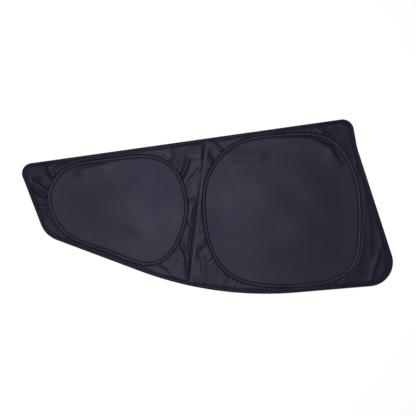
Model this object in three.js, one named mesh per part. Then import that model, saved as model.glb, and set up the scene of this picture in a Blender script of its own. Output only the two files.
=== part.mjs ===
// A pop-up sunshade for a car's side window, laid flat with its cabin side up.
// Two fabric panels are lapped and sewn together along a slanting centre seam. Each panel carries a
// spring-steel hoop: the fabric arches over the wire, a casing strip closes the channel underneath, and
// the wire's two ends meet in a crimped ferrule. Outside its hoop each panel is gathered into folds that
// run out towards the edge, and a folded tape binds the edge all round.
// Millimetres. +X points to the wide end, +Y to the straight long edge, and +Z up, away from the glass.

import * as THREE from "three";

// The whole length. The outline, the seam's place and the hoops are drawn in hundredths of it.
const LENGTH = 908.4;
const DRAWING_UNIT = LENGTH / 100;

// The outline: where its edge lines would meet, anticlockwise, and the radius that rounds each corner.
const OUTLINE = [
  { at: [-51.37, 11.27], radius: 2.75 },
  { at: [-44.03, -7.79], radius: 7.16 },
  { at: [1.87, -24.98], radius: 97.3 },
  { at: [51.93, -20.72], radius: 6.5 },
  { at: [40.02, 16.07], radius: 16.5 },
  { at: [38.64, 23.95], radius: 3.08 },
];

// The centre seam: a point it passes through and its lean from the upright.
const SEAM_POINT = [-2.62, -0.78];
const SEAM_LEAN = THREE.MathUtils.degToRad(6.6);

// Each hoop: the points its outer row of stitches curves through, anticlockwise, and the share of the
// way round, counted from the first point, at which the wire's ends meet.
const LEFT_HOOP = {
  through: [
    [-43.5, 2.1],
    [-39, -7.4],
    [-27.5, -12.4],
    [-16.1, -15.9],
    [-9, -11.5],
    [-5.6, -1],
    [-8.1, 9.2],
    [-15, 13.8],
    [-26.7, 13.2],
    [-38.9, 10.5],
  ],
  ends: 0.2,
};
const RIGHT_HOOP = {
  through: [
    [0.2, -11.1],
    [8.7, -20.4],
    [27.6, -21.6],
    [38.6, -17.2],
    [41.3, -6.6],
    [40, 8.3],
    [32.8, 18.6],
    [19.6, 19.8],
    [6, 16.6],
    [-1.3, 5.6],
  ],
  ends: 0.15,
};

// How far the panels lap at the seam, what the upper one keeps flat past the lap, and its slope down.
const SEAM_LAP = 9;
const LAP_MARGIN = 1;
const LAP_RUN_OUT = 12;

// The channel: between its rows of stitches, from the outer row to the wire, the flat top of the ridge,
// how far the casing strip passes the stitches, and the slope inside it down to the flat fabric.
const CHANNEL_WIDTH = 8.8;
const WIRE_INSET = 3.2;
const RIDGE_TOP = 2;
const CASING_MARGIN = 1.2;
const CHANNEL_RUN_OUT = 14;

// Materials.
const FABRIC_THICKNESS = 0.4;
const TAPE_THICKNESS = 0.6;
const CASING_THICKNESS = 0.35;
const WIRE_DIAMETER = 1.6;
const FERRULE_WALL = 0.35;
const FERRULE_LENGTH = 30;
const FERRULE_RUN_OUT = 25;
const STRAIGHT_MARGIN = 2;
const WIRE_END_GAP = 1;

// Room between pieces that lie on each other, and between the wire and its ferrule.
const CLEARANCE = 0.3;
const FERRULE_CLEARANCE = 0.15;

// The binding: the tape's width once folded, and the rounding of its fold.
const BINDING_WIDTH = 8;
const BINDING_ROUNDING = 0.5;
const BINDING_TO_FOLDS = 1.5;

// The gathers: each fold's direction from its hoop's centre in degrees, its width and its height.
const LEFT_FOLDS = [
  { at: 44, width: 12, height: 3 },
  { at: 31, width: 16, height: 5.5 },
  { at: 8, width: 9, height: 2.5 },
  { at: -17, width: 10, height: 2.5 },
  { at: -35, width: 13, height: 4.5 },
  { at: 148, width: 10, height: 2 },
  { at: 160, width: 9, height: 3.5 },
  { at: 169, width: 8, height: 3 },
  { at: 180, width: 8, height: 2.5 },
  { at: 190, width: 8, height: 2 },
];
const RIGHT_FOLDS = [
  { at: 136, width: 9, height: 3 },
  { at: 146, width: 12, height: 4.5 },
  { at: 198, width: 9, height: 3 },
  { at: 206, width: 10, height: 4 },
  { at: 215, width: 9, height: 3 },
  { at: 222, width: 12, height: 2.5 },
  { at: -46, width: 12, height: 2 },
  { at: -34, width: 16, height: 3 },
  { at: -14, width: 16, height: 2 },
  { at: 9, width: 16, height: 2 },
  { at: 30, width: 14, height: 2 },
];
const FOLD_RISE = 0.3;

// Fineness, in degrees, millimetres and counts.
const OUTLINE_STEP = 12;
const OUTLINE_LENGTH = 45;
const HOOP_POINTS = 180;
const RAY_STEP = 5.5;
const CLOSEST_RAYS = 1.6;
const HOOP_SECTIONS = 72;
const WIRE_SIDES = 8;
const FERRULE_SIDES = 16;

// Heights: the lapped panel above the one below, and the wire's rise at its ferrule.
const EDGE_HEIGHT = TAPE_THICKNESS + CLEARANCE;
const STITCH_HEIGHT = CASING_THICKNESS + CLEARANCE;
const LAP_HEIGHT = FABRIC_THICKNESS + CLEARANCE;
const FERRULE_RISE = FERRULE_CLEARANCE + FERRULE_WALL;

const degrees = THREE.MathUtils.degToRad;
const clamp = THREE.MathUtils.clamp;
const inwards = ({ point, normal }, distance) => point.clone().addScaledVector(normal, -distance);
const raise = ({ x, y }, z) => new THREE.Vector3(x, y, z);

// A closed loop of points with outward normals: straight lines between corners rounded by arcs.
function roundedLoop(corners, stepDegrees, longest = Infinity) {
  return corners.flatMap(({ at, radius }, i) => {
    const arriving = at.clone().sub(corners.at(i - 1).at).normalize();
    const leaving = corners[(i + 1) % corners.length].at.clone().sub(at).normalize();
    const turn = Math.atan2(arriving.cross(leaving), arriving.dot(leaving));
    const bend = radius * Math.sign(turn);
    const tangentLength = radius * Math.tan(Math.abs(turn) / 2);
    const start = at.clone().addScaledVector(arriving, -tangentLength);
    const startNormal = new THREE.Vector2(arriving.y, -arriving.x);
    const centre = start.clone().addScaledVector(startNormal, -bend);
    const arcLength = Math.abs(turn) * radius;
    const steps = Math.ceil(Math.max(Math.abs(turn) / degrees(stepDegrees), arcLength / longest, 2));
    return Array.from({ length: steps + 1 }, (_, k) => {
      const normal = startNormal.clone().rotateAround(new THREE.Vector2(), (turn * k) / steps);
      return { point: centre.clone().addScaledVector(normal, bend), normal };
    });
  });
}

// The part of a loop of points that lies behind a line, given by a point on it and its normal.
function cutLoop(loop, linePoint, lineNormal) {
  const ahead = (point) => point.clone().sub(linePoint).dot(lineNormal);
  return loop.flatMap((point, i) => {
    const next = loop[(i + 1) % loop.length];
    const kept = ahead(point) <= 0 ? [point] : [];
    if (ahead(point) > 0 !== ahead(next) > 0) {
      kept.push(point.clone().lerp(next, ahead(point) / (ahead(point) - ahead(next))));
    }
    return kept;
  });
}

// The same loop of frames with one more frame wherever it crosses a line.
function splitLoop(loop, linePoint, lineNormal) {
  const ahead = ({ point }) => point.clone().sub(linePoint).dot(lineNormal);
  return loop.flatMap((frame, i) => {
    const next = loop[(i + 1) % loop.length];
    if (ahead(frame) > 0 === ahead(next) > 0) {
      return [frame];
    }
    return [frame, between(frame, next, ahead(frame) / (ahead(frame) - ahead(next)))];
  });
}

function between(a, b, share) {
  return {
    point: a.point.clone().lerp(b.point, share),
    normal: a.normal.clone().lerp(b.normal, share).normalize(),
    run: THREE.MathUtils.lerp(a.run, b.run, share),
  };
}

// Where a ray from a centre leaves a loop of frames whose last frame repeats its first.
function rayOut(loop, centre, angle) {
  const ray = new THREE.Vector2(Math.cos(angle), Math.sin(angle));
  for (let i = 1; i < loop.length; i++) {
    const from = loop[i - 1].point.clone().sub(centre);
    const to = loop[i].point.clone().sub(centre);
    const [before, after] = [ray.cross(from), ray.cross(to)];
    const share = before / (before - after);
    if (before <= 0 && after > 0 && ray.dot(from.lerp(to, share)) > 0) {
      return between(loop[i - 1], loop[i], share);
    }
  }
  throw new Error("the loop does not surround its centre");
}

// Points on the ray's way out of a plain loop of points.
function edgeOn(points, centre, angle) {
  const frames = [...points, points[0]].map((point) => ({ point, normal: centre, run: 0 }));
  return rayOut(frames, centre, angle).point;
}

// The outline, moved so that the whole shade is centred on the origin.
const scaled = ([x, y]) => new THREE.Vector2(x, y).multiplyScalar(DRAWING_UNIT);
const drawn = OUTLINE.map(({ at, radius }) => ({ at: scaled(at), radius: radius * DRAWING_UNIT }));
const shadeCentre = new THREE.Box2()
  .setFromPoints(roundedLoop(drawn, OUTLINE_STEP).map(({ point }) => point))
  .getCenter(new THREE.Vector2());
const settled = (point) => point.sub(shadeCentre);
const outline = roundedLoop(
  drawn.map(({ at, radius }) => ({ at: settled(at), radius })),
  OUTLINE_STEP,
  OUTLINE_LENGTH,
);

// The seam's own line.
const seamPoint = settled(scaled(SEAM_POINT));
const seamUp = new THREE.Vector2(Math.sin(SEAM_LEAN), Math.cos(SEAM_LEAN));
const seamAcross = new THREE.Vector2(seamUp.y, -seamUp.x);
const fromSeam = (point) => point.clone().sub(seamPoint).dot(seamAcross);
const lapRise = (distance) =>
  LAP_HEIGHT * clamp(1 - (distance - SEAM_LAP / 2 - LAP_MARGIN) / LAP_RUN_OUT, 0, 1);

// A hoop's outer row of stitches as a loop that starts and ends where the wire's ends meet, and is
// straight along the ferrule there. Each frame knows how far along the loop it is.
function hoopLoop({ through, ends }) {
  const points = through.map((at) => raise(settled(scaled(at)), 0));
  const curve = new THREE.CatmullRomCurve3(points, true, "catmullrom", 0.5);
  const frameOn = (share) => {
    const { x, y } = curve.getPoint(share % 1);
    const tangent = curve.getTangent(share % 1);
    return { point: new THREE.Vector2(x, y), normal: new THREE.Vector2(tangent.y, -tangent.x) };
  };
  const start = frameOn(ends);
  const along = new THREE.Vector2(-start.normal.y, start.normal.x);
  const onFerrule = (distance) => ({
    point: start.point.clone().addScaledVector(along, distance),
    normal: start.normal,
  });
  const half = FERRULE_LENGTH / 2;
  const bent = Array.from({ length: HOOP_POINTS }, (_, k) => frameOn(ends + k / HOOP_POINTS)).filter(
    ({ point }) => point.distanceTo(start.point) > half + STRAIGHT_MARGIN,
  );
  const loop = [onFerrule(0), onFerrule(half), ...bent, onFerrule(-half), onFerrule(0)];
  loop.forEach((frame, i) => {
    frame.run = i ? loop[i - 1].run + frame.point.distanceTo(loop[i - 1].point) : 0;
  });
  return loop;
}

// The frame a given distance along a hoop's loop.
function frameAt(loop, run) {
  const i = Math.max(1, loop.findIndex((frame) => frame.run >= run));
  return between(loop[i - 1], loop[i], (run - loop[i - 1].run) / (loop[i].run - loop[i - 1].run));
}

// How far the wire is lifted by its ferrule at a distance along the loop.
function ferruleRise(loop, run) {
  const away = Math.min(run, loop.at(-1).run - run) - FERRULE_LENGTH / 2;
  return FERRULE_RISE * clamp(1 - away / FERRULE_RUN_OUT, 0, 1);
}

const wireHeight = (rise) => STITCH_HEIGHT + WIRE_DIAMETER / 2 + rise;
const ridgeHeight = (rise) => wireHeight(rise) + WIRE_DIAMETER / 2 + rise + CLEARANCE;

// A closed solid from its points and triangles, turned to face outwards.
function solid(points, triangles) {
  const volume = triangles.reduce((sum, [a, b, c]) => {
    const normal = new THREE.Vector3().crossVectors(points[b], points[c]);
    return sum + points[a].dot(normal);
  }, 0);
  const facing = volume > 0 ? triangles : triangles.map(([a, b, c]) => [a, c, b]);
  return new THREE.BufferGeometry().setFromPoints(points).setIndex(facing.flat());
}

// A sheet with one thickness from the rings of its underside, the innermost being a single point.
function sheet(rings, thickness) {
  const count = rings[1].length;
  const under = rings.flat();
  const over = under.map((point) => raise(point, point.z + thickness));
  const top = under.length;
  const index = (ring, ray) => (ring ? 1 + (ring - 1) * count + (ray % count) : 0);
  const triangles = [];
  for (let ray = 0; ray < count; ray++) {
    for (let ring = 0; ring < rings.length - 1; ring++) {
      const [a, b] = [index(ring, ray), index(ring, ray + 1)];
      const [c, d] = [index(ring + 1, ray), index(ring + 1, ray + 1)];
      triangles.push([a, d, c], [top + a, top + c, top + d]);
      if (ring) {
        triangles.push([a, b, d], [top + a, top + d, top + b]);
      }
    }
    const [e, f] = [index(rings.length - 1, ray), index(rings.length - 1, ray + 1)];
    triangles.push([e, f, top + f], [e, top + f, top + e]);
  }
  return solid([...under, ...over], triangles);
}

// A solid with the same cross-section all along, from its sections in order.
function sweep(sections, closed) {
  const sides = sections[0].length;
  const count = sections.length;
  const index = (section, side) => (section % count) * sides + (side % sides);
  const triangles = [];
  for (let s = 0; s < (closed ? count : count - 1); s++) {
    for (let k = 0; k < sides; k++) {
      const [a, b] = [index(s, k), index(s, k + 1)];
      const [c, d] = [index(s + 1, k), index(s + 1, k + 1)];
      triangles.push([a, b, d], [a, d, c]);
    }
  }
  for (let k = 1; !closed && k < sides - 1; k++) {
    triangles.push([index(0, 0), index(0, k + 1), index(0, k)]);
    triangles.push([index(count - 1, 0), index(count - 1, k), index(count - 1, k + 1)]);
  }
  return solid(sections.flat(), triangles);
}

// Points round a circle across a hoop's run, in its upright plane.
function circle(frame, inset, height, radius, sides) {
  return Array.from({ length: sides }, (_, k) => {
    const angle = (2 * Math.PI * (k + 0.5)) / sides;
    const across = inset - radius * Math.cos(angle);
    return raise(inwards(frame, across), height + radius * Math.sin(angle));
  });
}

// The angles of a panel's rays from its hoop's centre. Those that matter most are kept first, and a
// ray too close to one already kept is left out.
function rayAngles(ranked) {
  const kept = [];
  const apart = (a, b) => Math.abs(THREE.MathUtils.euclideanModulo(a - b + 180, 360) - 180);
  for (const { angle, room } of ranked) {
    if (kept.every((other) => apart(angle, other) >= room)) {
      kept.push(THREE.MathUtils.euclideanModulo(angle, 360));
    }
  }
  return kept.sort((a, b) => a - b);
}

// One fabric panel. Its rings run from the hoop's centre over the channel and the folds to the raw edge
// inside the binding; at the seam the panel above rises over the one below.
function panelGeometry(loop, centre, folds, toSeam, lapped) {
  const onEdge = (offset, lap) =>
    cutLoop(
      outline.map((frame) => inwards(frame, offset)),
      seamPoint.clone().addScaledVector(seamAcross, toSeam * lap),
      seamAcross.clone().multiplyScalar(toSeam),
    );
  const rawEdge = onEdge(TAPE_THICKNESS + CLEARANCE, SEAM_LAP / 2);
  const foldEdge = onEdge(BINDING_WIDTH + BINDING_TO_FOLDS, -SEAM_LAP / 2 - LAP_MARGIN);
  const angleOf = (point) => THREE.MathUtils.radToDeg(point.clone().sub(centre).angle());
  const seamEnds = [LAP_MARGIN, LAP_MARGIN + LAP_RUN_OUT].flatMap((past) => {
    const inside = onEdge(TAPE_THICKNESS + CLEARANCE, -SEAM_LAP / 2 - past);
    return inside.filter((point) => nearLine(fromSeam(point) * toSeam, -SEAM_LAP / 2 - past));
  });
  const edgeCorners = rawEdge.filter((point) => nearLine(fromSeam(point) * toSeam, SEAM_LAP / 2));
  const foldCorners = foldEdge.filter((point) =>
    nearLine(fromSeam(point) * toSeam, -SEAM_LAP / 2 - LAP_MARGIN),
  );
  const total = loop.at(-1).run;
  const ferruleEnds = [FERRULE_LENGTH / 2, FERRULE_LENGTH / 2 + FERRULE_RUN_OUT].flatMap((away) => [
    frameAt(loop, away).point,
    frameAt(loop, total - away).point,
  ]);
  const spread = folds.map(({ at, width, height }) => {
    const reach = edgeOn(foldEdge, centre, degrees(at)).distanceTo(centre);
    return { at, height, half: THREE.MathUtils.radToDeg(width / 2 / reach) };
  });
  const even = Array.from({ length: Math.floor(360 / RAY_STEP) }, (_, k) => k * RAY_STEP);
  const angles = rayAngles([
    ...[...edgeCorners, ...foldCorners].map((point) => ({ angle: angleOf(point), room: 0.2 })),
    ...spread.flatMap(({ at, half }) => [at, at - half, at + half].map((angle) => ({ angle, room: 0.4 }))),
    ...[...seamEnds, ...ferruleEnds].map((point) => ({ angle: angleOf(point), room: 0.8 })),
    ...rawEdge.map((point) => ({ angle: angleOf(point), room: CLOSEST_RAYS })),
    ...even.map((angle) => ({ angle, room: RAY_STEP / 2 })),
  ]);
  const foldAt = (angle) =>
    spread.reduce((most, { at, height, half }) => {
      const away = Math.abs(THREE.MathUtils.euclideanModulo(angle - at + 180, 360) - 180);
      return Math.max(most, height * clamp(1 - away / half, 0, 1));
    }, 0);
  const edgeHeight = (point) => EDGE_HEIGHT + (lapped ? lapRise(-toSeam * fromSeam(point)) : 0);

  const rays = angles.map((angle) => {
    const frame = rayOut(loop, centre, degrees(angle));
    const rise = ferruleRise(loop, frame.run);
    const stitch = raise(frame.point, STITCH_HEIGHT);
    const inner = edgeOn(foldEdge, centre, degrees(angle));
    const outer = edgeOn(rawEdge, centre, degrees(angle));
    const folded = raise(inner, edgeHeight(inner));
    const onFold = (share, full) => {
      const flat = stitch.clone().lerp(folded, share);
      return raise(flat, flat.z + foldAt(angle) * full);
    };
    return [
      raise(inwards(frame, CHANNEL_WIDTH + CHANNEL_RUN_OUT), 0),
      raise(inwards(frame, CHANNEL_WIDTH), STITCH_HEIGHT),
      raise(inwards(frame, WIRE_INSET + RIDGE_TOP / 2), ridgeHeight(rise)),
      raise(inwards(frame, WIRE_INSET - RIDGE_TOP / 2), ridgeHeight(rise)),
      stitch,
      onFold(FOLD_RISE, 1),
      onFold(1 - FOLD_RISE, 1),
      folded,
      raise(outer, edgeHeight(outer)),
    ];
  });
  const rings = rays[0].map((_, ring) => rays.map((ray) => ray[ring]));
  return sheet([[raise(centre, 0)], ...rings], FABRIC_THICKNESS);
}

function nearLine(distance, wanted) {
  return Math.abs(distance - wanted) < 1e-6;
}

// The spring wire, open where its ends meet, and the ferrule crimped over them.
function wireGeometry(loop) {
  const total = loop.at(-1).run;
  const lifted = [FERRULE_LENGTH / 2, FERRULE_LENGTH / 2 + FERRULE_RUN_OUT];
  const even = Array.from({ length: HOOP_SECTIONS - 1 }, (_, k) => ((k + 1) * total) / HOOP_SECTIONS);
  const runs = [
    WIRE_END_GAP / 2,
    total - WIRE_END_GAP / 2,
    ...lifted.flatMap((away) => [away, total - away]),
    ...even.filter((run) => Math.min(run, total - run) > lifted[1]),
  ].sort((a, b) => a - b);
  return sweep(
    runs.map((run) => {
      const height = wireHeight(ferruleRise(loop, run));
      return circle(frameAt(loop, run), WIRE_INSET, height, WIRE_DIAMETER / 2, WIRE_SIDES);
    }),
    false,
  );
}

function ferruleGeometry(loop) {
  const bore = WIRE_DIAMETER / 2 + FERRULE_CLEARANCE;
  const { point, normal } = loop[0];
  const along = new THREE.Vector2(-normal.y, normal.x);
  const end = (share, radius) => {
    const frame = { point: point.clone().addScaledVector(along, share * FERRULE_LENGTH), normal };
    return circle(frame, WIRE_INSET, wireHeight(FERRULE_RISE), radius, FERRULE_SIDES);
  };
  const outer = bore + FERRULE_WALL;
  return sweep([end(-0.5, outer), end(0.5, outer), end(0.5, bore), end(-0.5, bore)], true);
}

// The flat strip under the channel.
function casingGeometry(loop) {
  const total = loop.at(-1).run;
  const width = [-CASING_MARGIN, CHANNEL_WIDTH + CASING_MARGIN];
  return sweep(
    Array.from({ length: HOOP_SECTIONS }, (_, k) => {
      const [outer, inner] = width.map((inset) => inwards(frameAt(loop, (k * total) / HOOP_SECTIONS), inset));
      return [
        raise(outer, 0),
        raise(outer, CASING_THICKNESS),
        raise(inner, CASING_THICKNESS),
        raise(inner, 0),
      ];
    }),
    true,
  );
}

// The binding, a tape folded over the raw edge. It is deeper where the two panels lap.
function bindingGeometry() {
  const humps = [SEAM_LAP / 2 + LAP_MARGIN, SEAM_LAP / 2 + LAP_MARGIN + LAP_RUN_OUT];
  const frames = [...humps, ...humps.map((away) => -away)].reduce(
    (loop, away) => splitLoop(loop, seamPoint.clone().addScaledVector(seamAcross, away), seamAcross),
    outline,
  );
  return sweep(
    frames.map((frame) => {
      const slotTop = EDGE_HEIGHT + lapRise(Math.abs(fromSeam(frame.point))) + FABRIC_THICKNESS + CLEARANCE;
      const top = slotTop + TAPE_THICKNESS;
      return [
        [BINDING_WIDTH, 0],
        [BINDING_ROUNDING, 0],
        [0, BINDING_ROUNDING],
        [0, top - BINDING_ROUNDING],
        [BINDING_ROUNDING, top],
        [BINDING_WIDTH, top],
        [BINDING_WIDTH, slotTop],
        [TAPE_THICKNESS, slotTop],
        [TAPE_THICKNESS, TAPE_THICKNESS],
        [BINDING_WIDTH, TAPE_THICKNESS],
      ].map(([inset, height]) => raise(inwards(frame, inset), height));
    }),
    true,
  );
}

const fabric = new THREE.MeshStandardMaterial({ color: "#34333f", roughness: 0.8 });
const tape = new THREE.MeshStandardMaterial({ color: "#2a2933", roughness: 0.85 });
const casing = new THREE.MeshStandardMaterial({ color: "#302f3a", roughness: 0.85 });
const steel = new THREE.MeshStandardMaterial({ color: "#8f9193", roughness: 0.35, metalness: 1 });

const shade = new THREE.Group();

function add(name, geometry, material) {
  const mesh = new THREE.Mesh(geometry, material);
  mesh.name = name;
  shade.add(mesh);
}

function addPanel(side, hoop, folds) {
  const loop = hoopLoop(hoop);
  const centre = new THREE.Box2()
    .setFromPoints(loop.map(({ point }) => point))
    .getCenter(new THREE.Vector2());
  const toSeam = -Math.sign(fromSeam(centre));
  const panel = panelGeometry(loop, centre, folds, toSeam, side === "right");
  add("fabric_panel_" + side, panel, fabric);
  add("hoop_wire_" + side, wireGeometry(loop), steel);
  add("wire_ferrule_" + side, ferruleGeometry(loop), steel);
  add("casing_strip_" + side, casingGeometry(loop), casing);
}

addPanel("left", LEFT_HOOP, LEFT_FOLDS);
addPanel("right", RIGHT_HOOP, RIGHT_FOLDS);
add("edge_binding", bindingGeometry(), tape);

export default shade;
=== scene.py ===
import math

import bpy
import numpy as np
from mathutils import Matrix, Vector


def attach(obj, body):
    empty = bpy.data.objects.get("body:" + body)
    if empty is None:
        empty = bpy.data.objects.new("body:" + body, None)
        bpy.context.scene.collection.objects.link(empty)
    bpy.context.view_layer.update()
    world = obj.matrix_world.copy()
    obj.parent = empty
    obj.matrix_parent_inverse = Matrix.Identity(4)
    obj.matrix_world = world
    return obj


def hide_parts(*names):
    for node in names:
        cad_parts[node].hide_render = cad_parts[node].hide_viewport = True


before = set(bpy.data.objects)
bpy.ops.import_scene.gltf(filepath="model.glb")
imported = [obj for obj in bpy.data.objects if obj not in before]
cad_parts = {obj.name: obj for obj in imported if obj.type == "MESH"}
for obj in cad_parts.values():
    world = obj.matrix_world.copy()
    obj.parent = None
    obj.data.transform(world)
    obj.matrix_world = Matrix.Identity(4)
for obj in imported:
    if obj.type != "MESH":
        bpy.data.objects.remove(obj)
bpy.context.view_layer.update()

# The looks of a folding sunshade for a car's side window, seen from above as it lies on a pale floor.
# Lengths here are in millimetres, and become metres as each mesh is made.
MM = 0.001
rng = np.random.default_rng(7)

# The outline, the seam's place and the hoops are drawn in hundredths of the whole length, as the
# solids have them.
DRAWING_UNIT = 9.084
OUTLINE = [
    ((-51.37, 11.27), 2.75),
    ((-44.03, -7.79), 7.16),
    ((1.87, -24.98), 97.3),
    ((51.93, -20.72), 6.5),
    ((40.02, 16.07), 16.5),
    ((38.64, 23.95), 3.08),
]
SEAM_POINT = (-2.62, -0.78)
SEAM_LEAN = math.radians(6.6)
HOOPS = {
    "left": [
        (-43.5, 2.1), (-39, -7.4), (-27.5, -12.4), (-16.1, -15.9), (-9, -11.5),
        (-5.6, -1), (-8.1, 9.2), (-15, 13.8), (-26.7, 13.2), (-38.9, 10.5),
    ],
    "right": [
        (0.2, -11.1), (8.7, -20.4), (27.6, -21.6), (38.6, -17.2), (41.3, -6.6),
        (40, 8.3), (32.8, 18.6), (19.6, 19.8), (6, 16.6), (-1.3, 5.6),
    ],
}
WIRE_ENDS = {"left": 0.2, "right": 0.15}
SEAM_LAP = 9
LAP_MARGIN = 1
LAP_RUN_OUT = 12

CHANNEL_WIDTH = 8.8
WIRE_INSET = 3.2
CASING_MARGIN = 1.2
CHANNEL_RUN_OUT = 45
FABRIC_THICKNESS = 0.4
TAPE_THICKNESS = 0.6
CASING_THICKNESS = 0.35
WIRE_DIAMETER = 1.6
FERRULE_LENGTH = 30
FERRULE_RUN_OUT = 25
FERRULE_RISE = 0.5
CLEARANCE = 0.3
BINDING_WIDTH = 8
BINDING_TO_FOLDS = 1.5
BACK_THREAD = 0.12
OFF_THE_FLOOR = 0.03
EDGE_HEIGHT = TAPE_THICKNESS + CLEARANCE
STITCH_HEIGHT = CASING_THICKNESS + CLEARANCE
LAP_HEIGHT = FABRIC_THICKNESS + CLEARANCE

# How finely the panels and the casing strips are made.
PANEL_RAYS = 540
CASING_STEPS = 480

# Creases: the points each runs through, how far it falls away on its right side and on its left
# side, and its height.
CREASES = [
    ([(-70, 55), (-57, 80), (-50, 99), (-44, 117), (-31, 126)], 3.5, 11, 2.4),
    ([(-57, 114), (-38, 124), (-21, 125), (6, 122)], 11, 34, 1.6),
    ([(-97, 163), (-89, 146), (-82, 122), (-102, 99)], 2.5, 6, 1.3),
    ([(-75, 163), (-72, 139), (-70, 114), (-70, 80)], 2.5, 7, 1.0),
    ([(-6, 104), (-23, 90), (-43, 68), (-62, 41)], 3, 9, 0.8),
    ([(-62, 24), (-45, 12), (-21, 19)], 2.2, 5, 1.4),
    ([(-67, -23), (-43, -45), (-23, -82)], 3, 9, 1.2),
    ([(-49, -192), (-49, -136), (-43, -97), (-35, -43), (-29, 1), (-21, 50)], 4, 7, 1.9),
    ([(-77, -72), (-62, -99), (-54, -116), (-48, -150), (-45, -204)], 3.5, 9, 1.8),
    ([(4, -67), (-21, -99), (-28, -114), (-48, -141)], 3, 10, 1.4),
    ([(-26, -101), (-16, -126), (-13, -150), (-11, -209)], 3.5, 14, 0.9),
    ([(41, -106), (16, -153), (4, -214)], 3, 13, 0.9),
    ([(50, -126), (41, -160), (36, -219)], 7, 12, 0.8),
    ([(-136, -126), (-97, -153), (-62, -195)], 5, 12, 0.9),
    ([(-11, 178), (16, 153), (50, 119)], 2.5, 7, 1.3),
    ([(-13, 158), (-1, 131), (6, 114), (23, 80)], 3, 7, 1.8),
    ([(-396, 129), (-391, 99), (-386, 82), (-366, 55)], 5, 12, 2.4),
    ([(-432, 65), (-413, 65), (-396, 48), (-371, 28)], 4, 9, 2.4),
    ([(-442, 46), (-425, 41), (-405, 28), (-371, 9)], 4, 9, 2.2),
    ([(-420, 4), (-403, 4), (-371, -1)], 1.6, 3, 0.9),
    ([(-418, -8), (-403, -10), (-371, -13)], 1.6, 3, 0.9),
    ([(-415, -25), (-400, -22), (-369, -13)], 1.6, 3, 0.9),
    ([(-396, 77), (-361, 101), (-322, 119)], 4, 5, 1.6),
    ([(393, -219), (408, -155), (433, -82)], 5, 10, 0.8),
    ([(322, -219), (349, -150), (379, -97)], 5, 12, 0.5),
    ([(403, -136), (398, -45), (379, 65)], 6, 10, 0.4),
    ([(347, 193), (366, 139), (359, 70)], 4, 9, 0.8),
    ([(423, -209), (435, -136), (423, -38)], 5, 12, 0.5),
    ([(256, 202), (295, 171), (317, 148), (349, 99)], 3, 6, 0.9),
]
INSIDE_CREASES = [
    ([(31, 131), (60, 119), (92, 114), (124, 117), (158, 126)], 9, 24, 1.3),
    ([(-234, 104), (-268, 97), (-298, 92), (-332, 77)], 8, 20, 1.1),
    ([(337, 90), (298, 146), (254, 166), (207, 178), (148, 195)], 6, 26, 2.2),
]


def unit(angle):
    """The direction at an angle."""
    return np.stack([np.cos(angle), np.sin(angle)], axis=-1)


def smooth(x):
    """A soft step from 0 to 1."""
    x = np.clip(x, 0, 1)
    return x * x * (3 - 2 * x)


def rounded(corners):
    """A closed loop with rounded corners, as points with outward normals."""
    points, normals = [], []
    for i, (at, radius) in enumerate(corners):
        at = np.array(at, float)
        arriving = at - np.array(corners[i - 1][0], float)
        leaving = np.array(corners[(i + 1) % len(corners)][0], float) - at
        arriving /= np.linalg.norm(arriving)
        leaving /= np.linalg.norm(leaving)
        turn = math.atan2(arriving[0] * leaving[1] - arriving[1] * leaving[0], arriving @ leaving)
        bend = math.copysign(radius, turn)
        start = at - arriving * radius * math.tan(abs(turn) / 2)
        facing = math.atan2(-arriving[0], arriving[1])
        centre = start - unit(facing) * bend
        for share in np.linspace(0, 1, 40):
            normals.append(unit(facing + turn * share))
            points.append(centre + normals[-1] * bend)
    return np.array(points), np.array(normals)


def resampled(points, normals, count):
    """The loop again with a given number of even steps."""
    closed = np.vstack([points, points[:1]])
    faced = np.vstack([normals, normals[:1]])
    run = np.r_[0, np.cumsum(np.linalg.norm(np.diff(closed, axis=0), axis=1))]
    wanted = np.arange(count) / count * run[-1]
    xy = np.stack([np.interp(wanted, run, closed[:, k]) for k in (0, 1)], axis=1)
    facing = np.stack([np.interp(wanted, run, faced[:, k]) for k in (0, 1)], axis=1)
    facing /= np.linalg.norm(facing, axis=1)[:, None]
    return xy, facing, run[-1]


outline_points, outline_normals = rounded(
    [(np.array(at) * DRAWING_UNIT, radius * DRAWING_UNIT) for at, radius in OUTLINE]
)
SHADE_CENTRE = (outline_points.min(0) + outline_points.max(0)) / 2
outline_points -= SHADE_CENTRE
seam_point = np.array(SEAM_POINT) * DRAWING_UNIT - SHADE_CENTRE
seam_up = np.array([math.sin(SEAM_LEAN), math.cos(SEAM_LEAN)])
seam_across = np.array([seam_up[1], -seam_up[0]])


def from_seam(points):
    """How far points lie to the right of the seam."""
    return (points - seam_point) @ seam_across


def lap_rise(distance):
    """How far the edge rises where the panels lap."""
    return LAP_HEIGHT * np.clip(1 - (distance - SEAM_LAP / 2 - LAP_MARGIN) / LAP_RUN_OUT, 0, 1)


def hoop_loop(side):
    """The hoop's outer row of stitches, from where the wire's ends meet."""
    through = np.array(HOOPS[side], float) * DRAWING_UNIT - SHADE_CENTRE
    count = len(through)
    place = (np.arange(2000) / 2000 + WIRE_ENDS[side]) % 1 * count
    whole = place.astype(int)
    t = (place - whole)[:, None]
    a, b, c, d = (through[(whole + k) % count] for k in (-1, 0, 1, 2))
    bend = 2 * a - 5 * b + 4 * c - d
    twist = 3 * b - a - 3 * c + d
    points = b + 0.5 * ((c - a) * t + bend * t**2 + twist * t**3)
    along = 0.5 * ((c - a) + 2 * bend * t + 3 * twist * t**2)
    normals = np.stack([along[:, 1], -along[:, 0]], 1) / np.linalg.norm(along, axis=1)[:, None]
    return resampled(points, normals, 2400)


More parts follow.
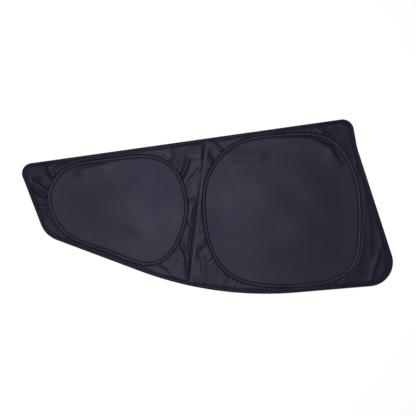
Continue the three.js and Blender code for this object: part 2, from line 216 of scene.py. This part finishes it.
def at_angles(loop, centre, angles):
    """Where rays from a centre leave a loop: points, normals and how far along the loop they are."""
    xy, facing, length = loop
    around = np.unwrap(np.arctan2(*(xy - centre).T[::-1]))
    around = np.r_[around, around[0] + 2 * np.pi]
    wanted = (angles - around[0]) % (2 * np.pi) + around[0]
    columns = [np.r_[column, column[0]] for column in (*xy.T, *facing.T)]
    x, y, nx, ny = [np.interp(wanted, around, column) for column in columns]
    run = np.interp(wanted, around, np.linspace(0, length, len(around)))
    return np.stack([x, y], 1), np.stack([nx, ny], 1), run


def ferrule_rise(run, length):
    """How far the wire's middle rises where the ferrule joins its ends."""
    away = np.minimum(run, length - run) - FERRULE_LENGTH / 2
    return FERRULE_RISE * smooth(1 - away / FERRULE_RUN_OUT)


def ripple(run, length, shortest, longest, waves=9):
    """A smooth random wave along a closed run, between -1 and 1."""
    total = np.zeros_like(run)
    for _ in range(waves):
        count = round(length / rng.uniform(shortest, longest))
        total += np.sin(2 * np.pi * count * run / length + rng.uniform(0, 2 * np.pi))
    return total / math.sqrt(waves) / 1.5


def swell(seed, shortest, longest, waves=14):
    """A smooth random surface, about between -1 and 1, as a function of points."""
    own = np.random.default_rng(seed)
    directions = unit(own.uniform(0, 2 * np.pi, waves))
    steps = directions * (2 * np.pi / own.uniform(shortest, longest, waves))[:, None]
    phases = own.uniform(0, 2 * np.pi, waves)

    def height(points):
        return np.sin(points @ steps.T + phases).sum(-1) / math.sqrt(waves) / 1.5

    return height


swell_inside = swell(11, 70, 220)
swell_outside = swell(23, 26, 80)
loops = {side: hoop_loop(side) for side in HOOPS}


def crease_height(points, creases):
    """How high the creases lift the fabric at each point."""
    total = np.zeros(points.shape[:-1])
    for path, sharp, gentle, height in creases:
        path = np.array(path, float)
        lengths = np.linalg.norm(np.diff(path, axis=0), axis=1)
        nearest = np.full(points.shape[:-1], 1e9)
        along = np.zeros(points.shape[:-1])
        width = np.full(points.shape[:-1], float(gentle))
        for a, b, before, length in zip(path, path[1:], np.r_[0, np.cumsum(lengths)], lengths):
            share = np.clip((points - a) @ (b - a) / length**2, 0, 1)
            offset = points - a - share[..., None] * (b - a)
            away = np.linalg.norm(offset, axis=-1)
            closer = away < nearest
            right = (b - a)[0] * offset[..., 1] - (b - a)[1] * offset[..., 0] < 0
            nearest = np.where(closer, away, nearest)
            along = np.where(closer, (before + share * length) / lengths.sum(), along)
            width = np.where(closer, np.where(right, sharp, gentle), width)
        taper = smooth(np.minimum(along, 1 - along) * 4)
        total = np.maximum(total, height * taper * np.exp(-((nearest / width) ** 2) * 1.4))
    return total


def mesh_object(name, points, faces):
    """A smooth mesh in the scene, from points in millimetres and lists of corners."""
    mesh = bpy.data.meshes.new(name)
    mesh.from_pydata((np.asarray(points) * MM).tolist(), [], faces)
    mesh.polygons.foreach_set("use_smooth", np.ones(len(mesh.polygons), bool))
    mesh.update()
    piece = bpy.data.objects.new(name, mesh)
    bpy.context.scene.collection.objects.link(piece)
    return piece


def sheet_mesh(name, centre, rings, thickness):
    """A closed sheet from the rings of its underside, which grow from one middle point."""
    ring_count, ray_count = rings.shape[:2]
    under = np.vstack([centre[None], rings.reshape(-1, 3)])
    over = under + [0, 0, thickness]
    top = len(under)
    ray = np.arange(ray_count)
    after = (ray + 1) % ray_count
    faces = []
    for ring in range(ring_count - 1):
        a, b = 1 + ring * ray_count + ray, 1 + ring * ray_count + after
        c, d = a + ray_count, b + ray_count
        faces += [np.stack([a, b, d, c], 1), np.stack([a, c, d, b], 1) + top]
    last = 1 + (ring_count - 1) * ray_count
    faces.append(np.stack([last + ray, last + after, top + last + after, top + last + ray], 1))
    quads = np.vstack(faces).tolist()
    middle = [[0, 1 + j, 1 + i] for i, j in zip(ray, after)]
    middle += [[top, top + 1 + i, top + 1 + j] for i, j in zip(ray, after)]
    return mesh_object(name, np.vstack([under, over]), quads + middle)


def swept_loop(name, sections):
    """A closed ring of matching cross-sections, as one closed mesh."""
    count, sides = sections.shape[:2]
    s, k = np.meshgrid(np.arange(count), np.arange(sides), indexing="ij")
    after, beside = (s + 1) % count, (k + 1) % sides
    faces = np.stack([s * sides + k, s * sides + beside, after * sides + beside, after * sides + k], -1)
    return mesh_object(name, sections.reshape(-1, 3), faces.reshape(-1, 4).tolist())


def channel_profile(inset, rise):
    """The fabric's height across the channel: taut over the wire, and slack towards the inner row."""
    top = CASING_THICKNESS + 2 * CLEARANCE + WIRE_DIAMETER + 2 * rise - STITCH_HEIGHT
    outer = smooth(inset / 1.8)
    slack = 1 - 0.35 * np.clip((inset - WIRE_INSET - 0.9) / (CHANNEL_WIDTH - WIRE_INSET - 0.9), 0, 1)
    inner = slack * smooth((CHANNEL_WIDTH - inset) / 1.7)
    return STITCH_HEIGHT + top * np.minimum(outer, inner)


def groove_side(away):
    """How far the fabric stands up again beside a row of stitches, at a distance from it."""
    return 0.3 * smooth(away / 1.1) * np.exp(-away / 6)


def fabric_panel(side, loop, centre, to_seam, lapped):
    """One fabric panel, grown in rings from the hoop's middle: its mesh, flat area and flat size."""
    angles = np.linspace(0, 2 * np.pi, PANEL_RAYS, endpoint=False)
    edge_loop, fold_loop = [
        resampled(outline_points - outline_normals * offset, outline_normals, 3000)
        for offset in (TAPE_THICKNESS + CLEARANCE, BINDING_WIDTH + BINDING_TO_FOLDS)
    ]
    directions = unit(angles)
    across = directions @ seam_across * to_seam
    to_line = -from_seam(centre) * to_seam

    def reach(edge, lap):
        """How far the panel goes along each ray: to an edge loop, or past the seam by a lap."""
        xy, _, _ = at_angles(edge, centre, angles)
        out = np.linalg.norm(xy - centre, axis=1)
        seam = np.where(across > 1e-6, (to_line + lap) / np.maximum(across, 1e-6), 1e9)
        return centre + directions * np.minimum(out, seam)[:, None]

    raw = reach(edge_loop, SEAM_LAP / 2)
    folded = reach(fold_loop, -SEAM_LAP / 2 - LAP_MARGIN)
    stitch, facing, run = at_angles(loop, centre, angles)
    length = loop[2]
    rise = ferrule_rise(run, length)

    def edge_height(points):
        if not lapped:
            return np.full(points.shape[:-1], float(EDGE_HEIGHT))
        return EDGE_HEIGHT + lap_rise(-to_seam * from_seam(points))

    patches = smooth(ripple(run, length, 60, 180) * 1.2 + 0.5)
    gather = ripple(run, length, 7, 16) * patches
    fine = ripple(run, length, 3.5, 7) * patches
    inner_edge = stitch - facing * (CHANNEL_WIDTH + CHANNEL_RUN_OUT)
    rings, heights = [], []

    # The flat fabric inside the hoop.
    for share in np.linspace(0.04, 1, 22):
        xy = centre + (inner_edge - centre) * share
        rings.append(xy)
        soft = (swell_inside(xy) * 0.5 + 0.5) * 1.15 * smooth((1 - share) * 1.6)
        heights.append(soft + crease_height(xy, INSIDE_CREASES))

    # From there to the channel's inner row of stitches, and across the channel.
    for share in np.linspace(1, 0, 14)[1:] ** 1.5:
        inset = CHANNEL_WIDTH + CHANNEL_RUN_OUT * share
        rings.append(stitch - facing * inset)
        away = CHANNEL_RUN_OUT * share
        lift = 0.2 * (gather + 1) * smooth(away / 3) * np.exp(-away / 5)
        lift = lift + groove_side(away) * 0.6
        lift = lift + crease_height(rings[-1], INSIDE_CREASES) * smooth(away / 5)
        heights.append(STITCH_HEIGHT * smooth(1 - share) + lift)
    for inset in np.linspace(CHANNEL_WIDTH, 0, 20)[1:]:
        rings.append(stitch - facing * inset)
        slack = np.clip((inset - WIRE_INSET) / 2, 0, 1) * smooth((CHANNEL_WIDTH - inset) / 2)
        heights.append(channel_profile(inset, rise) + 0.16 * slack * (gather + fine))

    # From the channel to the binding and the seam, and on under them.
    gap = np.linalg.norm(folded - stitch, axis=1)
    for share in np.linspace(0, 1, 36)[1:] ** 1.25:
        xy = stitch + (folded - stitch) * share
        rings.append(xy)
        flat = STITCH_HEIGHT + (edge_height(folded) - STITCH_HEIGHT) * share
        out, back = gap * share, gap * (1 - share)
        mask = smooth(out / 5) * smooth(back / 5)
        puckers = 0.9 * (gather * 0.6 + fine * 0.4 + 0.5) * np.exp(-out / 10) * smooth(out / 2)
        tuck = 0.25 * (gather + 0.8) * smooth(back / 2) * np.exp(-back / 9)
        waves = (swell_outside(xy) + 0.6) * 0.3
        gathers = (puckers + tuck) * smooth(back / 2) * smooth(out / 1.5)
        lift = mask * (crease_height(xy, CREASES) + waves) + gathers
        lift = lift + groove_side(out) * smooth(back / 3)
        heights.append(flat + np.maximum(lift, 0))
    for share in np.linspace(0, 1, 5)[1:]:
        xy = folded + (raw - folded) * share
        rings.append(xy)
        heights.append(edge_height(xy))

    rings = np.dstack([np.array(rings), np.maximum(heights, OFF_THE_FLOOR)[..., None]])
    middle = np.array([*centre, rings[0, :, 2].mean()])
    piece = sheet_mesh("panel_" + side, middle, rings, FABRIC_THICKNESS)
    around = np.roll(raw, -1, axis=0)
    area = 0.5 * abs((raw[:, 0] * around[:, 1] - raw[:, 1] * around[:, 0]).sum()) * MM**2
    size = (raw.max(0) - raw.min(0)) * MM
    return piece, area, size


# Materials.
def material(name):
    made = bpy.data.materials.new(name)
    made.use_nodes = True
    nodes = made.node_tree.nodes
    nodes.clear()
    output = nodes.new("ShaderNodeOutputMaterial")
    shader = nodes.new("ShaderNodeBsdfPrincipled")
    made.node_tree.links.new(shader.outputs["BSDF"], output.inputs["Surface"])
    return made, shader


def woven(name, low, high, weave_mm, roughness, bump, specular):
    """Plain-woven cloth: two crossed sets of threads, cloudy shade differences and a soft sheen."""
    made, shader = material(name)
    tree = made.node_tree
    link = tree.links.new
    place = tree.nodes.new("ShaderNodeTexCoord")
    bands = []
    for direction in ("X", "Y"):
        wave = tree.nodes.new("ShaderNodeTexWave")
        wave.wave_type = "BANDS"
        wave.bands_direction = direction
        wave.inputs["Scale"].default_value = 1 / (weave_mm * MM) / 20 * math.pi
        wave.inputs["Distortion"].default_value = 0.6
        wave.inputs["Detail"].default_value = 1.0
        link(place.outputs["Object"], wave.inputs["Vector"])
        bands.append(wave)
    weave = tree.nodes.new("ShaderNodeMath")
    weave.operation = "MULTIPLY"
    link(bands[0].outputs["Fac"], weave.inputs[0])
    link(bands[1].outputs["Fac"], weave.inputs[1])
    cloud = tree.nodes.new("ShaderNodeTexNoise")
    cloud.inputs["Scale"].default_value = 9
    cloud.inputs["Detail"].default_value = 5
    cloud.inputs["Roughness"].default_value = 0.55
    link(place.outputs["Object"], cloud.inputs["Vector"])
    speck = tree.nodes.new("ShaderNodeTexNoise")
    speck.inputs["Scale"].default_value = 700
    speck.inputs["Detail"].default_value = 2
    link(place.outputs["Object"], speck.inputs["Vector"])
    blend = tree.nodes.new("ShaderNodeMath")
    blend.operation = "MULTIPLY_ADD"
    link(speck.outputs["Fac"], blend.inputs[0])
    blend.inputs[1].default_value = 0.45
    link(cloud.outputs["Fac"], blend.inputs[2])
    shade = tree.nodes.new("ShaderNodeMapRange")
    shade.inputs["From Min"].default_value = 0.45
    shade.inputs["From Max"].default_value = 1.0
    link(blend.outputs[0], shade.inputs["Value"])
    colours = tree.nodes.new("ShaderNodeMix")
    colours.data_type = "RGBA"
    colours.inputs["A"].default_value = (*low, 1)
    colours.inputs["B"].default_value = (*high, 1)
    link(shade.outputs["Result"], colours.inputs["Factor"])
    link(colours.outputs["Result"], shader.inputs["Base Color"])
    relief = tree.nodes.new("ShaderNodeBump")
    relief.inputs["Strength"].default_value = bump
    relief.inputs["Distance"].default_value = 0.15 * MM
    link(weave.outputs[0], relief.inputs["Height"])
    link(relief.outputs["Normal"], shader.inputs["Normal"])
    gloss = tree.nodes.new("ShaderNodeMapRange")
    gloss.inputs["From Min"].default_value = 0.3
    gloss.inputs["From Max"].default_value = 0.7
    gloss.inputs["To Min"].default_value = roughness - 0.04
    gloss.inputs["To Max"].default_value = roughness + 0.04
    link(cloud.outputs["Fac"], gloss.inputs["Value"])
    link(gloss.outputs["Result"], shader.inputs["Roughness"])
    shader.inputs["Specular IOR Level"].default_value = specular
    shader.inputs["Specular Tint"].default_value = (0.75, 0.75, 1, 1)
    return made


def steel(name, colour, roughness):
    made, shader = material(name)
    tree = made.node_tree
    noise = tree.nodes.new("ShaderNodeTexNoise")
    noise.inputs["Scale"].default_value = 300
    ramp = tree.nodes.new("ShaderNodeMapRange")
    ramp.inputs["To Min"].default_value = roughness - 0.08
    ramp.inputs["To Max"].default_value = roughness + 0.12
    tree.links.new(noise.outputs["Fac"], ramp.inputs["Value"])
    tree.links.new(ramp.outputs["Result"], shader.inputs["Roughness"])
    shader.inputs["Base Color"].default_value = (*colour, 1)
    shader.inputs["Metallic"].default_value = 1
    return made


fabric_look = woven(
    "shade fabric", (0.0066, 0.0062, 0.0135), (0.0100, 0.0095, 0.0200), 0.7, 0.375, 0.3, 0.088
)
casing_look = woven("casing fabric", (0.018, 0.017, 0.028), (0.026, 0.025, 0.040), 0.7, 0.6, 0.5, 0.1)
tape_look = woven("binding tape", (0.005, 0.0048, 0.0095), (0.0076, 0.0073, 0.014), 1.1, 0.38, 0.4, 0.07)
thread_look = woven("thread", (0.004, 0.004, 0.007), (0.007, 0.007, 0.011), 0.3, 0.6, 0.5, 0.05)
wire_look = steel("spring steel", (0.42, 0.43, 0.44), 0.3)
ferrule_look = steel("ferrule steel", (0.5, 0.51, 0.52), 0.38)


def dress(piece, look, slot_name, *nodes):
    """Give a piece its look and hide the solids it stands for; slot_name is not used."""
    piece.data.materials.clear()
    piece.data.materials.append(look)
    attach(piece, "root")
    if nodes:
        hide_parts(*nodes)


# The panels.
for side, to_seam in (("left", 1), ("right", -1)):
    xy = loops[side][0]
    centre = (xy.min(0) + xy.max(0)) / 2
    piece, area, size = fabric_panel(side, loops[side], centre, to_seam, side == "right")
    dress(piece, fabric_look, "shade_fabric", "fabric_panel_" + side)

# The casing strips under the channels.
for side in ("left", "right"):
    points, facing, length = resampled(loops[side][0], loops[side][1], CASING_STEPS)
    run = np.arange(CASING_STEPS) / CASING_STEPS * length
    wander = 0.25 * ripple(run, length, 30, 90)
    outer = points + facing * (CASING_MARGIN + wander)[:, None]
    inner = points - facing * (CHANNEL_WIDTH + CASING_MARGIN + wander)[:, None]
    low, high = BACK_THREAD, CASING_THICKNESS
    levels = [(outer, low), (outer, high), (inner, high), (inner, low)]
    sections = np.stack([np.c_[xy, np.full(CASING_STEPS, z)] for xy, z in levels], 1)
    strip = swept_loop("casing_" + side, sections)
    dress(strip, casing_look, "casing_fabric", "casing_strip_" + side)


# The binding.
BINDING_STEPS = 1400
points, facing, length = resampled(outline_points, outline_normals, BINDING_STEPS)
run = np.arange(BINDING_STEPS) / BINDING_STEPS * length
gathers = ripple(run, length, 5, 12) * 0.5 + ripple(run, length, 12, 40) * 0.5
slot_top = EDGE_HEIGHT + lap_rise(np.abs(from_seam(points))) + FABRIC_THICKNESS + CLEARANCE
top = slot_top + TAPE_THICKNESS + 0.14 * (gathers + 0.4)
width = BINDING_WIDTH + 0.3 * gathers
tape_profile = [
    (1.0, 0.0), (0.5, 0.0), (0.12, 0.0), (0.05, 0.07), (0.0, 0.22), (0.0, 0.45), (0.05, 0.66), (0.12, 0.86),
    (0.2, 0.98), (0.3, 1.04), (0.45, 1.06), (0.6, 1.05), (0.72, 1.0), (0.83, 0.89), (1.0, 0.75),
]
sections = []
for inset, level in tape_profile:
    xy = points - facing * (width * inset)[:, None]
    over_slot = inset > 0.7 and level > 0
    lowest = slot_top + 0.1 if over_slot else OFF_THE_FLOOR
    sections.append(np.c_[xy, np.maximum(top * level, lowest)])
slot_profile = [
    (width, slot_top),
    (TAPE_THICKNESS, slot_top),
    (TAPE_THICKNESS, TAPE_THICKNESS),
    (width, TAPE_THICKNESS),
]
for inset, level in slot_profile:
    xy = points - facing * np.broadcast_to(inset, points.shape[:1])[:, None]
    sections.append(np.c_[xy, np.broadcast_to(level, points.shape[:1])])
binding = swept_loop("binding", np.stack(sections, 1))
dress(binding, tape_look, "binding_tape", "edge_binding")


# The sewing: rows of separate stitches, each a short thread that dips at both ends.
def stitch_row(name, path, heights, thread=0.22, dip=1):
    """Stitches along a path of points with heights; dip is -1 for those seen from below."""
    pitch, gap = 3.6, 0.9
    track = np.c_[path, heights]
    steps = np.linalg.norm(np.diff(track, axis=0), axis=1)
    run = np.r_[0, np.cumsum(steps)]
    count = int(run[-1] // pitch)
    shape = [(0, -0.25, 0.4), (0.15, 0.05, 1), (0.5, 0.12, 1), (0.85, 0.05, 1), (1, -0.25, 0.4)]
    sides = 6
    all_points, all_faces = [], []
    for i in range(count):
        begin = i * pitch + gap / 2
        end = (i + 1) * pitch - gap / 2
        base = len(all_points)
        for share, lift, wide in shape:
            place = begin + (end - begin) * share
            at = np.array([np.interp(place, run, track[:, k]) for k in range(3)])
            ahead = np.array([np.interp(place + 0.3, run, track[:, k]) for k in (0, 1)])
            along = ahead - at[:2]
            along /= np.linalg.norm(along) + 1e-9
            across = np.array([-along[1], along[0]])
            for k in range(sides):
                turn = 2 * math.pi * k / sides
                xy = at[:2] + across * math.cos(turn) * thread * wide
                all_points.append([*xy, at[2] + dip * lift + math.sin(turn) * thread * wide])
        for ring in range(len(shape) - 1):
            for k in range(sides):
                a = base + ring * sides + k
                b = base + ring * sides + (k + 1) % sides
                all_faces.append([a, b, b + sides, a + sides])
        all_faces.append([base + k for k in reversed(range(sides))])
        last = base + (len(shape) - 1) * sides
        all_faces.append([last + k for k in range(sides)])
    row = mesh_object(name, all_points, all_faces)
    dress(row, thread_look, "binding_tape")


def closed(path):
    return np.vstack([path, path[:1]])


for side in ("left", "right"):
    points, facing, length = resampled(loops[side][0], loops[side][1], 600)
    for name, inset in (("outer", 0.0), ("inner", CHANNEL_WIDTH)):
        path = closed(points - facing * inset)
        level = np.full(len(path), STITCH_HEIGHT + FABRIC_THICKNESS)
        stitch_row(f"stitches_{side}_{name}", path, level)
        level = np.full(len(path), BACK_THREAD + 0.12)
        stitch_row(f"stitches_{side}_{name}_back", path, level, thread=BACK_THREAD, dip=-1)
points, facing, length = resampled(outline_points, outline_normals, 900)
path = closed(points - facing * (BINDING_WIDTH - 1.8))
level = EDGE_HEIGHT + lap_rise(np.abs(from_seam(path))) + FABRIC_THICKNESS + CLEARANCE + TAPE_THICKNESS
stitch_row("stitches_binding", path, level)
for name, offset in (("near", -SEAM_LAP / 2 + 1.2), ("far", SEAM_LAP / 2 - 1.2)):
    along = np.linspace(-170, 168, 300)
    path = seam_point + seam_up * along[:, None] + seam_across * offset
    level = np.full(300, EDGE_HEIGHT + LAP_HEIGHT + FABRIC_THICKNESS)
    stitch_row("stitches_seam_" + name, path, level)

# The wires and ferrules stay as they are, in steel.
for side in ("left", "right"):
    for node, look in (("hoop_wire_", wire_look), ("wire_ferrule_", ferrule_look)):
        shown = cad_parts[node + side]
        shown.data.materials.clear()
        shown.data.materials.append(look)

# The floor.
FLOOR_REACH = 6000
floor_corners = [(FLOOR_REACH * x, FLOOR_REACH * y, 0) for x, y in ((-1, -1), (1, -1), (1, 1), (-1, 1))]
floor = mesh_object("floor", floor_corners, [(0, 1, 2, 3)])
floor_look, floor_shader = material("floor")
floor_shader.inputs["Base Color"].default_value = (0.95, 0.95, 0.95, 1)
floor_shader.inputs["Roughness"].default_value = 0.9
floor_shader.inputs["Specular IOR Level"].default_value = 0.0
floor.data.materials.append(floor_look)

# Light: a broad one above and to the left, a low one that shows the folds, and an even sky.
world = bpy.data.worlds.new("sky")
world.use_nodes = True
world.node_tree.nodes["Background"].inputs["Color"].default_value = (1, 1, 1, 1)
world.node_tree.nodes["Background"].inputs["Strength"].default_value = 0.3
bpy.context.scene.world = world


def lamp(name, kind, place, target, energy, **settings):
    data = bpy.data.lights.new(name, kind)
    data.energy = energy
    for key, value in settings.items():
        setattr(data, key, value)
    made = bpy.data.objects.new(name, data)
    made.location = place
    made.rotation_euler = (Vector(target) - Vector(place)).to_track_quat("-Z", "Y").to_euler()
    bpy.context.scene.collection.objects.link(made)
    return made


lamp("broad", "AREA", (-0.15, 0.04, 3.0), (-0.15, 0.04, 0), 63, size=0.5)
lamp("low", "SUN", (-1.2, 1.6, 1.6), (0, 0, 0), 0.6, angle=math.radians(8))

# The camera looks straight down, as in the photo.
PIXEL = 2.45 * MM
PICTURE = 416
PICTURE_CENTRE = (208 - 207.45, 206.6 - 208)
camera_data = bpy.data.cameras.new("camera")
camera_data.lens = 85
camera_data.sensor_width = 36
camera = bpy.data.objects.new("camera", camera_data)
distance = PICTURE * PIXEL * camera_data.lens / camera_data.sensor_width
camera.location = (PICTURE_CENTRE[0] * PIXEL, PICTURE_CENTRE[1] * PIXEL, distance)
bpy.context.scene.collection.objects.link(camera)
bpy.context.scene.camera = camera
bpy.context.scene.view_settings.view_transform = "Standard"
